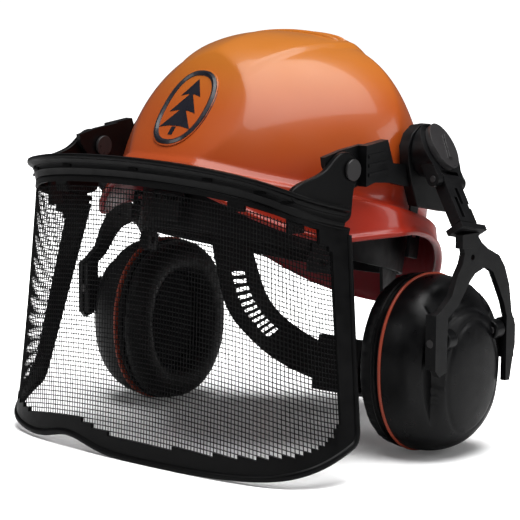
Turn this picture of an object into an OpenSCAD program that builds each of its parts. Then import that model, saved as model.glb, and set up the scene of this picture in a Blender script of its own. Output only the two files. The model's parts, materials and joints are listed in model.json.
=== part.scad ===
// Forestry helmet: hard shell with cradle, swing-up mesh visor and two swing-out ear defenders.
// Millimetres. The helmet rests on the visor's lower edge and both ear cups, brow raised.
// +Z up, the wearer faces -Y, the wearer's left is +X, X = 0 is the symmetry plane.

/* [Shell] */
// Half width of the dome at the rain gutter
dome_a = 104; // [103:0.5:104]
// Length of the dome behind its widest point
dome_back = 127; // [125:1:132]
// Height of the crown above the shell datum
crown_z = 123; // [121:1:126]
// Wall thickness of the shell
wall = 3; // [2.4:0.2:3.4]
// Number of transverse ribs on the crown
rib_n = 9; // [0:1:10]
// Backward pitch of the resting helmet in degrees
pitch = 12; // [12:1:12]

/* [Visor] */
// Width of the moulded border of the mesh, as a share of its height
border = 0.075; // [0.06:0.005:0.1]
// Thickness of the moulded visor frame
frame_t = 3; // [2.4:0.2:3.6]

/* [Ear cups] */
// Half height of an ear cup
cup_h = 54; // [50:0.5:54]
// Half depth (front to back) of an ear cup
cup_d = 46; // [42:0.5:47]
// How far the cup bulges outward from its trim ring
cup_bulge = 38; // [32:1:39]

/* [Cradle] */
// Half width of the headband
band_a = 76; // [74:1:77]
// Half length of the headband
band_b = 92; // [88:1:94]
// Height of the headband strip
band_h = 30; // [24:1:34]
// Number of slots in each side of the nape strap
slots = 11; // [6:1:12]

/* [Hidden] */
$fn = 40;
BLK = [0.07, 0.07, 0.075];

// ---------- general helpers ----------
function spow(v, p) = sign(v) * pow(abs(v), p);
function unit(v) = v / max(norm(v), 1e-9);
function mix(a, b, t) = a * (1 - t) + b * t;
function smin(a, b, k) = let(h = max(k - abs(a - b), 0) / k) min(a, b) - h * h * k / 4;
function sstep(a, b, x) = let(t = min(max((x - a) / (b - a), 0), 1)) t * t * (3 - 2 * t);
function avg(l) = l * [for (i = l) 1] / len(l);
function centre(r) = [for (k = [0:2]) avg([for (p = r) p[k]])];

// solid through a list of closed loops; the ends close on their centre points
module loft(r, flip = false) {
  n = len(r[0]); m = len(r);
  pts = concat([for (a = r) each a], [centre(r[0]), centre(r[m - 1])]);
  f = concat(
    [for (i = [0:m - 2]) for (j = [0:n - 1]) let(k = (j + 1) % n)
      each [[i * n + j, i * n + k, (i + 1) * n + k], [i * n + j, (i + 1) * n + k, (i + 1) * n + j]]],
    [for (j = [0:n - 1]) [(j + 1) % n, j, m * n]],
    [for (j = [0:n - 1]) [(m - 1) * n + j, (m - 1) * n + (j + 1) % n, m * n + 1]]);
  polyhedron(pts, [for (t = f) flip ? [t[2], t[1], t[0]] : t]);
}
// ring-shaped solid: loops joined one after another and the last back to the first
module donut(r, flip = false) {
  n = len(r[0]); m = len(r);
  f = [for (i = [0:m - 1]) for (j = [0:n - 1]) let(k = (j + 1) % n, l = (i + 1) % m)
      each [[i * n + j, i * n + k, l * n + k], [i * n + j, l * n + k, l * n + j]]];
  polyhedron([for (a = r) each a], [for (t = f) flip ? [t[2], t[1], t[0]] : t]);
}
// same section at every station, flat ends
module sweep(r, flip = false) {
  n = len(r[0]); m = len(r);
  f = concat(
    [for (i = [0:m - 2]) for (j = [0:n - 1]) let(k = (j + 1) % n)
      each [[i * n + j, i * n + k, (i + 1) * n + k], [i * n + j, (i + 1) * n + k, (i + 1) * n + j]]],
    [[for (j = [n - 1:-1:0]) j]], [[for (j = [0:n - 1]) (m - 1) * n + j]]);
  polyhedron([for (a = r) each a], flip ? [for (t = f) [for (k = [len(t) - 1:-1:0]) t[k]]] : f);
}
// sheet between an outer grid P and an inner grid Q; cells with mask 0 are left open
module sheet(P, Q, M, wrap = false, flip = false) {
  a = len(P); b = len(P[0]); o = a * b;
  function on(i, j) = (i < 0 || i > a - 2) ? 0 : wrap ? M[i][(j + b) % b] : (j < 0 || j > b - 2) ? 0 : M[i][j];
  function q(p0, p1, p2, p3) = [[p0, p1, p2], [p0, p2, p3]];
  f = [for (i = [0:a - 2]) for (j = [0:wrap ? b - 1 : b - 2]) if (on(i, j) == 1)
    let(k = (j + 1) % b, A = i * b + j, B = i * b + k, C = (i + 1) * b + k, D = (i + 1) * b + j)
    each concat(q(A, B, C, D), q(o + A, o + D, o + C, o + B),
      on(i - 1, j) == 1 ? [] : q(A, o + A, o + B, B),
      on(i + 1, j) == 1 ? [] : q(C, o + C, o + D, D),
      on(i, j - 1) == 1 ? [] : q(D, o + D, o + A, A),
      on(i, j + 1) == 1 ? [] : q(B, o + B, o + C, C))];
  used = [for (p = [0:2 * o - 1]) 0];
  polyhedron(concat([for (r = P) each r], [for (r = Q) each r]), flip ? [for (t = f) [t[2], t[1], t[0]]] : f);
}
function full(a, b) = [for (i = [0:a - 2]) [for (j = [0:b - 1]) 1]];
module sf() translate([0, 8, 122]) rotate([-pitch, 0, 0]) children();
module plate(x0, x1, pts) translate([x0, 0, 0]) rotate([90, 0, 90]) linear_extrude(x1 - x0) polygon(pts);
module barx(x0, x1, y, z, r) translate([x0, y, z]) rotate([0, 90, 0]) cylinder(h = x1 - x0, r = r);
module bary(y0, y1, x, z, r) translate([x, y0, z]) rotate([-90, 0, 0]) cylinder(h = y1 - y0, r = r);
module both(left) { if (left) children(); else mirror([1, 0, 0]) children(); }

// ---------- shell ----------
// p runs from 0 at the brow to 180 at the nape; the dome is widest on the line y = WY
WY = -45; NP = 2.53;
function ytab(y, tab) = avg([for (k = [-2:2]) lookup(y + k * 4, tab)]);
function gutter_z(y) = ytab(y, [[-141, 30], [-117, 26.5], [-40, 23], [0, 20.5], [50, 16], [92, 12]]);
function lip_z(y) = ytab(y, [[-150, 17], [-135, 13], [-121, 5], [-109, -1], [-94, -5], [-80, -6.5], [-62, 0], [-37, 7], [-15, 6.5], [8, 2], [27, -7], [45, -18], [65, -30], [80, -36], [95, -39]]);
function gut_o(y) = ytab(y, [[-141, 2.5], [-117, 5], [-58, 7], [40, 7], [92, 5]]);
function lip_o(y) = ytab(y, [[-141, 4.5], [-117, 9], [-58, 13], [40, 13], [92, 10]]);
function foot(p, o = 0) = let(f = cos(p) > 0, m = f ? 1.363 : 1.688, l = f ? 106.4 : dome_back)
  [(dome_a + o) * spow(sin(p), 2 / m), WY - (l + o) * spow(cos(p), 2 / m)];
// dome point: p angle from the brow, zeta height share, t depth below the outer surface
function dome(p, zeta, t) =
  let(z0 = gutter_z(max(foot(p)[1], -141)), z = z0 + (crown_z - t - z0) * zeta, k = max(0, (z - 20) / (crown_z - t - 20)), f = cos(p) > 0,
    m = f ? 1.363 + 0.087 * k : 1.688 - 0.251 * k, w = (dome_a - t) * pow(1 - pow(k, NP), 1 / NP),
    l = f ? (109 - t) * pow(1 - pow(k, 2.2), 1 / 2.2) - 2.65 * (1 - k) : (dome_back - t) * pow(1 - pow(k, 1.4), 1 / 1.4),
    x = w * spow(sin(p), 2 / m), y = WY + 18.1 * k - l * spow(cos(p), 2 / m), yp = -141 + t * 1.13 + (z - 29) * 0.5209 + x * x / 220,
    sp = t > 0 ? 0 : (1.5 * sstep(-112, -95, y) + 1.1 * sstep(-60, -15, y)) * (1 - sstep(52, 76, y)) * (1 - sstep(band_x(y) - 3, band_x(y) + 3, abs(x))) * sstep(60, 90, z))
  [x, f ? max(y, yp) : y, z + sp];
// skirt point: o outward offset from the dome foot, z height
function skirt(p, o, z, t = 0) = let(q = foot(p, o)) [q[0], cos(p) > 0 ? max(q[1], -141 - o + (z - 29) * 0.1 + t + q[0] * q[0] / 220) : q[1], z];
NA = 72;
function ringd(zeta, t) = [for (i = [0:NA - 1]) dome(i * 360 / NA - 180, zeta, t)];
function rings(f) = [for (i = [0:NA - 1]) let(p = i * 360 / NA - 180) f(p, max(foot(p)[1], -141))];
// half width of the raised crown band, widening to the rear
function band_x(y) = y < -44 ? 29 + 15 * max(0, (y + 109) / 65) : 44 + 0.1 * (y + 44);
ZO = [0.9995, 0.985, 0.95, 0.9, 0.84, 0.77, 0.69, 0.6, 0.5, 0.4, 0.3, 0.2, 0.1, 0.03];
ZI = [0.04, 0.2, 0.36, 0.52, 0.66, 0.78, 0.87, 0.94, 0.98, 0.9995];
shell_rings = concat([for (z = ZO) ringd(z, 0)],
  [rings(function (p, y) skirt(p, 1.4, gutter_z(y) - 0.6)),
   rings(function (p, y) skirt(p, gut_o(y) - 1, gutter_z(y) - 1.6)),
   rings(function (p, y) skirt(p, gut_o(y) + 0.6, gutter_z(y) - 3.2)),
   rings(function (p, y) skirt(p, mix(gut_o(y), lip_o(y), 0.62), mix(gutter_z(y), lip_z(y), 0.6))),
   rings(function (p, y) skirt(p, lip_o(y) - 0.6, lip_z(y) + 4.5)),
   rings(function (p, y) skirt(p, lip_o(y) + 1.6, lip_z(y) + 2.6)),
   rings(function (p, y) skirt(p, lip_o(y) + 1.4, lip_z(y) + 0.4)),
   rings(function (p, y) skirt(p, lip_o(y) - 0.4, lip_z(y) - 0.2, 1)),
   rings(function (p, y) skirt(p, lip_o(y) - 2.4 - wall * 0.3, lip_z(y) + 1.2, wall)),
   rings(function (p, y) skirt(p, mix(gut_o(y), lip_o(y), 0.55) - wall, mix(gutter_z(y), lip_z(y), 0.55), wall)),
   rings(function (p, y) skirt(p, gut_o(y) - wall, gutter_z(y) - 5.5, wall)),
   rings(function (p, y) skirt(p, 0.4 - wall, gutter_z(y) - 3.8, wall))],
  [for (z = ZI) ringd(z, wall)]);
// height of the crown line above y, found by halving
function crown_y(k) = WY + 18.1 * k + dome_back * pow(max(0, 1 - pow(k, 1.4)), 1 / 1.4);
function crown_k(y, a = 0, b = 1, n = 18) = n == 0 ? (a + b) / 2 : crown_y((a + b) / 2) > y ? crown_k(y, (a + b) / 2, b, n - 1) : crown_k(y, a, (a + b) / 2, n - 1);
function top_z(y) = 20 + (crown_z - 20) * crown_k(y) + 2.6;
// transverse ribs on the rear half of the raised crown band
function rib_y(i) = -37 + i * 7.5;
module rib(y, hw, R) {
  z = top_z(y); sl = atan2(top_z(y + 1) - top_z(y - 1), 2); g = asin(hw / R);
  translate([0, y, z]) rotate([sl, 0, 0]) translate([0, 0, -R - 0.9]) rotate([90, 0, 0]) rotate([0, 0, 90 - g])
    rotate_extrude(angle = 2 * g, $fn = 96) translate([R, 0]) circle(r = 2.1, $fn = 24);
}
module shell() color([0.91, 0.36, 0.10]) sf() {
  difference() {
    union() {
      loft(shell_rings);
      for (i = [0:1:rib_n - 1]) rib(rib_y(i), 37 - 0.3 * i, 95 - 5 * i);
    }
    for (s = [-1, 1]) translate([s * 105.4 - 1, -27.5, 12]) cube([2, 9, 14]);
  }
}
module crown_emblem() color([0.06, 0.06, 0.09]) sf()
  // a plain conifer on an upright oval badge, lying on the flat brow panel
  translate([0, -141.25 + 33 * 0.5209 - 1.0, 62]) rotate([90 - 27.52, 0, 0]) linear_extrude(1.6) difference() {
    scale([1, 1.5]) circle(r = 19);
    difference() { scale([1, 1.55]) circle(r = 16.4); polygon([[0, 22], [7, 9], [4, 9], [9, -1], [5, -1], [11.5, -14], [2, -14], [2, -20], [-2, -20], [-2, -14], [-11.5, -14], [-5, -1], [-9, -1], [-4, 9], [-7, 9]]); }
  }

// ---------- side carriers and visor brackets ----------
function w_y(y, z) = 8 + y * cos(pitch) + z * sin(pitch);
function w_z(y, z) = 122 - y * sin(pitch) + z * cos(pitch);
HY = -26; HZ = 58.4;       // ear-defender hub axis in the shell frame
VY = -72; VZ = 177.6;      // visor axis
module carrier() color(BLK) sf() difference() {
  union() {
    plate(104.6, 112, [[-28, 24], [-36, 36], [-42, 48], [-45, 58], [-43, 66], [-37, 72], [-27, 74.5], [-18, 72.5], [-11, 67.5], [-8.4, 60], [-7, 50], [-4, 40], [0, 31], [1, 24]]);
    translate([104.6, -27, 8]) cube([1.6, 8, 17]);
    translate([103.2, -27, 8]) cube([2, 8, 2]);
  }
  barx(100, 130, HY, HZ, 4.06);
}
module bracket() color(BLK) difference() {
  union() {
    plate(100.6, 103.8, [[-91.9, 186], [-91, 180.6], [-84, 172], [-76, 166.5], [-69, 165.5], [-64.7, 166], [-57, 167.8], [-57, 191.4], [-76.3, 189.2]]);
    plate(100.6, 110, [[-60.9, 166.8], [-57, 167.8], [-57, 191.4], [-60.9, 191]]);
    plate(104.4, 110, [[-61, 166.8], [-52.8, 168.7], [-38.4, 167.5], [-20.6, 163.6], [-24.2, 177.4], [-35.7, 179], [-41, 193.3], [-61, 191]]);
    for (k = [0:2]) translate([109.9, -59, 172.5 + k * 5.5]) rotate([4, 0, 0]) cube([0.8, 19 - k * 1.5, 2]);
  }
  barx(95, 105, VY, VZ, 4.06);
}
module visor_pin() color([0.13, 0.13, 0.14]) {
  barx(99.4, 109, VY, VZ, 4);
  barx(98, 100.2, VY, VZ, 6.5);
  barx(108.1, 110.1, VY, VZ, 6.4);
}

// ---------- visor ----------
function pkc(t, dw = 0, dy = 0, dz = 0) = let(u = 1 - cos(t))
  [(126.43 + dw) * sin(t) + 12.62 * sin(3 * t), -147.96 + dy + 21.65 * u + 46.72 * u * u, 182 + dz - 28.17 * u + 1.98 * u * u];
function vbc(t) = let(u = 1 - cos(t))
  [143.8 * sin(t) + 8.28 * sin(3 * t), -150.68 + 28.79 * u + 33.61 * u * u, 0.4 + 9.42 * u + 17.24 * u * u + 7 * exp(-pow((t + 19) / 9, 2))];
function pkn(t) = let(d = pkc(t + 0.5) - pkc(t - 0.5)) unit([d[1], -d[0], 0]);
NT = 40;
function lip_sec(t) = let(d = 6.5 + 9.5 * cos(t)) [[0, 0.7], [0, -1.5], [-2.4, -2.6], [-4.9, -12.4], [-7.9, -12.4], [-5.8, -4.2], [-d, -3.4 - d * 0.12], [-d, -1.3 - d * 0.12], [-2, 0.9]];
peak_rings = [for (i = [0:NT]) let(t = -90 + 180 * i / NT, p = pkc(t), n = pkn(t)) [for (s = lip_sec(t)) p + n * s[0] + [0, 0, s[1]]]];
module ear() difference() {
  plate(104.2, 107.7, [[-126, 169], [-118, 173.4], [-105, 175.6], [-97, 178], [-91.6, 181.2], [-86.5, 185.4], [-82, 187.9], [-77, 188.7], [-71.5, 187.2], [-67, 183.3], [-65.2, 178.5], [-65.5, 174.3], [-67.5, 170], [-69.6, 166.6], [-70.8, 158.7], [-72, 147.5], [-84, 146.5], [-96, 150], [-108, 156], [-118, 161], [-124, 163.5]]);
  barx(100, 120, VY, VZ, 4.06);
}
module visor_peak() color(BLK) difference() {
  union() {
    sweep(peak_rings, true);
    ear(); mirror([1, 0, 0]) ear();
  }
  for (t = [-58, -42, -22, 0, 22, 42, 58]) let(p = pkc(t), n = pkn(t))
    translate(p + [0, 0, -5.4]) rotate([0, 0, atan2(n[1], n[0])]) translate([-9, -3.5, -1]) cube([10, 7, 2]);
}
// mesh surface: s = 0 under the peak, s = 1 at the lower edge
function vis(t, s, o) = let(
    f = function (tt, ss) mix(pkc(tt, -3.4, 3.4, -13.4), vbc(tt * 85 / 90), ss),
    p = f(t, s), dt = f(t + 0.5, s) - f(t - 0.5, s), ds = f(t, s + 0.01) - f(t, s - 0.01), n = unit(cross(ds, dt)))
  p - n * o;
TL = concat([-90, -86.5], [for (i = [0:18]) mix(-80.5, 80.5, i / 18)], [86.5, 90]);
SL = [0, 0.03, 0.075, 0.2, 0.35, 0.5, 0.65, 0.8, 1 - border, 1 - border * 0.45, 1];
module visor_frame() color(BLK) sheet(
  [for (s = SL) [for (t = TL) vis(t, s, 0)]], [for (s = SL) [for (t = TL) vis(t, s, frame_t)]],
  [for (i = [0:len(SL) - 2]) [for (j = [0:len(TL) - 1]) (i < 2 || i > len(SL) - 4 || j < 2 || j > len(TL) - 4) ? 1 : 0]]);
TM = [for (i = [0:20]) mix(-84.5, 84.5, i / 20)];
SM = [for (i = [0:8]) mix(0.045, 1 - border * 0.6, i / 8)];
module visor_mesh() color([0.16, 0.16, 0.17]) sheet(
  [for (s = SM) [for (t = TM) vis(t, s, frame_t + 0.45)]], [for (s = SM) [for (t = TM) vis(t, s, frame_t + 1.05)]],
  full(len(SM), len(TM)));
module visor_clips() color(BLK) for (t = [-66, -30, 30, 66]) let(p = vis(t, 0, 0), n = pkn(t))
  translate(p) rotate([0, 0, atan2(n[1], n[0])]) translate([-9.2, -6, -9]) cube([2.4, 12, 15]);

// ---------- cradle ----------
function oval(th, a, b, z) = [a * cos(th), b * sin(th), z];
NB = 56;
BY = -26;                 // centre of the headband, from the shell datum
module band_ring(a, b, z0f, z1f, t, n = NB) sheet(
  [for (k = [0:1]) [for (j = [0:n - 1]) let(th = 360 * j / n) oval(th, a + t, b + t, k == 0 ? z0f(th) : z1f(th))]],
  [for (k = [0:1]) [for (j = [0:n - 1]) let(th = 360 * j / n) oval(th, a, b, k == 0 ? z0f(th) : z1f(th))]],
  full(2, n), wrap = true, flip = true);
function band_lo(th) = -14 - 4 * sin(th);
module headband() color([0.09, 0.09, 0.1]) sf() translate([0, BY, 0])
  band_ring(band_a, band_b, function (th) band_lo(th), function (th) band_lo(th) + band_h, 2);
// frame of a chin-strap lug: origin on the headband's outer face, +X outward
LT = -23.03;
module lugf() translate([(band_a + 1) * cos(LT), (band_b + 1) * sin(LT), 0]) rotate([0, 0, atan2(sin(LT) / band_b, cos(LT) / band_a)]) children();
module chin_lug() color([0.09, 0.09, 0.1]) sf() translate([0, BY, 0]) lugf() difference() {
  union() { translate([-1, -8, -24]) cube([6, 16, 11]); translate([1.2, -8, -13.5]) cube([2, 16, 8.5]); }
  barx(-4, 9, 0, -17.5, 2.6);
}
module sweatband() color([0.14, 0.14, 0.15]) sf() translate([0, BY, 0]) sheet(
  [for (k = [0:3]) [for (j = [0:24]) let(th = 205 + 130 * j / 24, e = (k == 0 || k == 3) ? 1.2 : 0) oval(th, band_a - 0.3 - e, band_b - 0.3 - e, band_lo(th) + 3 + k * 7)]],
  [for (k = [0:3]) [for (j = [0:24]) let(th = 205 + 130 * j / 24, e = (k == 0 || k == 3) ? 1.2 : 0) oval(th, band_a - 3.8 + e, band_b - 3.8 + e, band_lo(th) + 3 + k * 7)]],
  full(4, 25));
// webbing strap over the head in the vertical plane at angle g, lying at height h
function arc_pt(g, v, o, h) = let(ca = cos(g), sa = sin(g), r = 1 / sqrt(ca * ca / pow(band_a + 4.6, 2) + sa * sa / pow(band_b + 4.6, 2)))
  [(r + o) * cos(v) * ca, (r + o) * cos(v) * sa, 8 + (h - 8 + o) * sin(v)];
module crown_strap(g, h) color([0.12, 0.12, 0.13]) sf() translate([0, BY, 0]) sheet(
  [for (k = [-1, 1]) [for (j = [0:24]) let(v = 180 * j / 24) arc_pt(g, v, 1.1, h) + k * 9.5 * [-sin(g), cos(g), 0]]],
  [for (k = [-1, 1]) [for (j = [0:24]) let(v = 180 * j / 24) arc_pt(g, v, 0, h) + k * 9.5 * [-sin(g), cos(g), 0]]],
  full(2, 25), flip = true);
module crown_pad() color([0.16, 0.16, 0.18]) sf() translate([0, BY, 84]) cylinder(h = 5.5, r = 30);
module cradle_anchors() color([0.1, 0.1, 0.11]) sf() translate([0, BY, 0]) for (g = [90, 32, 148, 212, 328, 270])
  let(r = 1 / sqrt(pow(cos(g) / (band_a + 7.6), 2) + pow(sin(g) / (band_b + 7.6), 2)))
  translate([r * cos(g), r * sin(g), 0]) rotate([0, 0, atan2(sin(g) / pow(band_b, 2), cos(g) / pow(band_a, 2))]) difference() {
    translate([0, -11, -6]) cube([2.6, 22, 18]);
    translate([-1, -9, 7]) cube([6, 18, 2.6]);
  }
// nape strap: falls from the sides of the headband to the nape
NS = [[13, -8, 33, -8], [17.7, -26.7, 37.9, -24.5], [26.5, -55.4, 44.7, -43], [39, -73, 53.7, -55.4], [53.7, -85.8, 66, -64.5], [71.6, -93.6, 79, -70.5], [88, -95.5, 88, -74.5]];
function nst(k) = NS[max(0, min(6, k))];
function ncr(u) = let(i = min(5, floor(u)), f = u - i, a = nst(i - 1), b = nst(i), c = nst(i + 1), d = nst(i + 2))
  0.5 * (2 * b + (c - a) * f + (2 * a - 5 * b + 4 * c - d) * f * f + (3 * b - a - 3 * c + d) * f * f * f);
NW = 2 * slots + 20;
function nu(j) = j < 6 ? j * 1.1 / 6 : j < 6 + 2 * slots ? 1.1 + (j - 6) * 2.2 / (2 * slots) : 3.3 + (j - 6 - 2 * slots) * 2.6 / 14;
function nap(u, b, o) = let(q = ncr(u), th = mix(q[0], q[2], b))
  [(band_a - 3 + o) * cos(th), (band_b - 4 + o) * sin(th), mix(q[1], q[3], b)];
function nmask(i, j) = (i == 1 && j > 6 && j < 6 + 2 * slots && j % 2 == 1) ? 0 : 1;
module nape_half() sheet(
  [for (b = [0, 0.34, 0.66, 1]) [for (j = [0:NW]) nap(nu(j), b, 2.2)]],
  [for (b = [0, 0.34, 0.66, 1]) [for (j = [0:NW]) nap(nu(j), b, 0)]],
  [for (i = [0:2]) [for (j = [0:NW]) nmask(i, j)]]);
module nape_strap() color([0.08, 0.08, 0.09]) sf() translate([0, BY, 0]) { nape_half(); mirror([1, 0, 0]) nape_half(); }
module nape_buckle() color([0.1, 0.1, 0.11]) sf() translate([0, BY, 0]) difference() {
  translate([-19, 81.4, -100.5]) cube([38, 13.4, 37]);
  translate([-30, 83.8, -98]) cube([60, 8.6, 32]);
}

// ---------- ear defender, left side ----------
HYW = w_y(HY, HZ); HZW = w_z(HY, HZ);
AX = 122; TA = -11; TB = -35;       // slanted face of the hub: its centre's x, and its lean forward and outward
// frame on the slanted face: +X out of the face, -Z down along the arm
module af() translate([AX, HYW, HZW]) rotate([TA, 0, 0]) rotate([0, TB, 0]) children();
PX = -4.2; PN = -18.5;              // swing-out axis in that frame
module hub() color(BLK) difference() {
  union() {
    difference() {
      barx(112.3, 136, HYW, HZW, 16.5);
      af() translate([0, -30, -40]) cube([40, 60, 80]);
    }
    intersection() {
      af() for (s = [-1, 1]) { translate([0, s * 11.4, 0]) bary(-2.4, 2.4, PX, PN, 4.4); translate([PX - 4.3, s * 11.4 - 2.4, PN]) cube([8.4, 4.8, 12]); }
      translate([112.3, -60, 100]) cube([60, 100, 140]);
    }
  }
  barx(110, 118.4, HYW, HZW, 4.06);
  af() {
    translate([-14, -8.8, PN - 20]) cube([30, 17.6, 20 + 5]);
    bary(-20, 20, PX, PN, 2.05);
    bary(-8.8, 8.8, PX, PN, 5.2);
  }
}
module hub_pin() color([0.6, 0.6, 0.62]) barx(105.5, 118, HYW, HZW, 4);
module hub_cover() color([0.1, 0.1, 0.11]) af() {
  translate([0.1, 0, 2]) rotate([0, 90, 0]) linear_extrude(4) scale([15.5 / 11.5, 1]) circle(r = 11.5, $fn = 72);
  translate([4, -1.6, -7]) rotate([-12, 0, 0]) cube([1.5, 3.2, 17]);
}
module arm_pin() color([0.6, 0.6, 0.62]) af() bary(-14, 14, PX, PN, 2);
module arm() color(BLK) difference() {
  af() union() {
    bary(-8.4, 8.4, PX, PN, 4.6);
    translate([PX - 3.8, -8.4, -48.5]) cube([7.6, 16.8, 48.5 + PN]);
  }
  af() {
    bary(-20, 20, PX, PN, 2.05);
    translate([PX - 1.8, -6.1, -70]) cube([3.6, 12.2, 44]);
    translate([PX + 1.5, -0.6, -36]) cube([5, 3, 11]);
    translate([PX + 1.5, -4.8, -45.5]) cube([5, 3, 14]);
    translate([-12, 6.9, -38.5]) cube([14, 4, 3.4]);
  }
}
CY = -4; CZ = 55; CX = 113.6;      // cup centre and trim plane
TX = 147; TZ = 76;                   // cup tilt axis
module yoke() color(BLK) difference() {
  union() {
    af() { translate([PX - 1.6, -6, -53]) cube([3.2, 12, 23.4]); translate([PX - 6, -12.5, -54]) cube([12, 25, 3.5]); }
    translate([146.5, -22, 130]) cube([5.5, 16, 8.5]);
    plate(147.5, 151.5, [[-21, 134], [-19, 127], [-21, 121], [-25.5, 115], [-31, 103], [-40, 96], [-46, 93], [-46, 60], [-42, 56], [-35, 58], [-34.4, 90], [-24, 97], [-13, 110], [-8, 114], [2.7, 117], [10, 113], [16, 103], [21.5, 93], [24.8, 84], [24.8, 44], [29, 44], [32, 58], [34, 66], [34, 78], [30, 86], [27, 103], [22, 115], [16, 122.5], [4, 128], [-2, 132], [-6, 136.5], [-20, 137]]);
    translate([143, -45, 60]) cube([8, 9.5, 33]);
    translate([143, 26, 58]) cube([8, 7.5, 24]);
  }
  bary(-60, 60, TX, TZ, 2.55);
  translate([146, -11, 124]) rotate([0, 90, 0]) cylinder(h = 10, r = 1.8);
}
module cup_pins() color([0.5, 0.5, 0.52]) { bary(-46, -23, TX, TZ, 2.5); bary(14, 34.5, TX, TZ, 2.5); }
function cring(x, a, b, n = 48, m = 2.2) = [for (j = [0:n - 1]) let(th = 360 * j / n)
  [x, CY + b * spow(cos(th), 2 / m), CZ + a * spow(sin(th), 2 / m) ]];
function cshape(k, t) = pow(1 - pow(k, 2.6), 1 / 2.6);
KO = [0.999, 0.97, 0.92, 0.84, 0.74, 0.62, 0.48, 0.32, 0.16, 0.0];
KI = [0.0, 0.25, 0.5, 0.7, 0.86, 0.96, 0.999];
cup_out = [for (k = KO) cring(CX + cup_bulge * k, cup_h * cshape(k), cup_d * cshape(k))];
cup_in = concat([cring(CX - 1, cup_h - 3, cup_d - 3)], [for (k = KI) if (k > 0.1) cring(CX + (cup_bulge - 5) * k, (cup_h - 3) * cshape(k), (cup_d - 3 - 9 * k) * cshape(k))]);
module cup() color([0.075, 0.075, 0.08]) difference() {
  union() {
    difference() {
      loft(cup_out);
      translate([140.5, CY - 80, -20]) cube([30, 50.4, 150]);
      translate([140.5, CY + 28, -20]) cube([30, 50, 150]);
    }
    bary(CY - 28.8, CY - 19.2, TX - 1.6, TZ, 6.2);
    bary(CY + 18.2, CY + 27.8, TX - 1.6, TZ, 6.2);
  }
  loft(cup_in, true);
  bary(CY - 40, CY - 17, TX, TZ, 2.55);
  bary(CY + 16, CY + 40, TX, TZ, 2.55);
}
function oval_ring(x0, x1, a, b, w, n = 48) = [for (j = [0:n - 1]) let(th = 360 * j / n, c = spow(cos(th), 0.91), s = spow(sin(th), 0.91))
  [[x0, CY + b * c, CZ + a * s], [x1, CY + b * c, CZ + a * s], [x1, CY + (b - w) * c, CZ + (a - w) * s], [x0, CY + (b - w) * c, CZ + (a - w) * s]]];
module cup_trim() color([0.90, 0.30, 0.16]) donut(oval_ring(CX - 2.2, CX - 0.05, cup_h + 0.6, cup_d + 0.6, 5.5));
module seal_plate() color([0.1, 0.1, 0.1]) donut(oval_ring(CX - 4.6, CX - 2.25, cup_h - 1.5, cup_d - 1.5, 15));
cushion_rings = [for (j = [0:47]) let(th = 360 * j / 48, c = spow(cos(th), 0.91), s = spow(sin(th), 0.91))
  [for (q = [0:9]) let(g = 36 * q, u = 1 - 0) let(rr = 10.6 * spow(cos(g), 0.75), xx = 6.6 * spow(sin(g), 0.75))
    [CX - 11.5 + xx, CY + (cup_d - 11.8 + rr) * c, CZ + (cup_h - 11.8 + rr) * s]]];
module ear_cushion() color([0.05, 0.05, 0.055]) donut(cushion_rings, true);
module cup_foam() color([0.2, 0.2, 0.21]) loft([for (k = [0, 0.35, 0.6, 0.8, 0.93]) cring(CX - 4 + 30 * k, 34 * cshape(k), 26 * cshape(k), 32, 2)], true);

shell();
crown_emblem();
carrier();  // slot_carrier_left
mirror([1, 0, 0]) carrier();  // slot_carrier_right
bracket();  // visor_bracket_left
mirror([1, 0, 0]) bracket();  // visor_bracket_right
visor_pin();  // visor_pivot_pin_left
mirror([1, 0, 0]) visor_pin();  // visor_pivot_pin_right
visor_peak();
visor_frame();
visor_mesh();
visor_clips();
headband();
chin_lug();  // chin_lug_left
mirror([1, 0, 0]) chin_lug();  // chin_lug_right
sweatband();
crown_strap(90, 95);  // crown_strap_a
crown_strap(32, 97);  // crown_strap_b
crown_strap(148, 99);  // crown_strap_c
crown_pad();
cradle_anchors();
nape_strap();
nape_buckle();
hub();  // hub_left
mirror([1, 0, 0]) hub();  // hub_right
hub_pin();  // hub_pin_left
mirror([1, 0, 0]) hub_pin();  // hub_pin_right
hub_cover();  // hub_cover_left
mirror([1, 0, 0]) hub_cover();  // hub_cover_right
arm();  // arm_left
mirror([1, 0, 0]) arm();  // arm_right
arm_pin();  // arm_pin_left
mirror([1, 0, 0]) arm_pin();  // arm_pin_right
yoke();  // yoke_left
mirror([1, 0, 0]) yoke();  // yoke_right
cup_pins();  // cup_pins_left
mirror([1, 0, 0]) cup_pins();  // cup_pins_right
cup();  // cup_left
mirror([1, 0, 0]) cup();  // cup_right
cup_trim();  // cup_trim_left
mirror([1, 0, 0]) cup_trim();  // cup_trim_right
seal_plate();  // seal_plate_left
mirror([1, 0, 0]) seal_plate();  // seal_plate_right
ear_cushion();  // ear_cushion_left
mirror([1, 0, 0]) ear_cushion();  // ear_cushion_right
cup_foam();  // cup_foam_left
mirror([1, 0, 0]) cup_foam();  // cup_foam_right
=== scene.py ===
"""Forestry helmet with a mesh visor and ear cups.

Sizes are in millimetres unless noted and become metres when a mesh is made. The wearer looks
along -Y, +X is the wearer's left and +Z is up. The shell, its cradle and the badge are drawn
in a shell frame, which shell_to_world tips back onto the head.
"""
import json
import math

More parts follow.
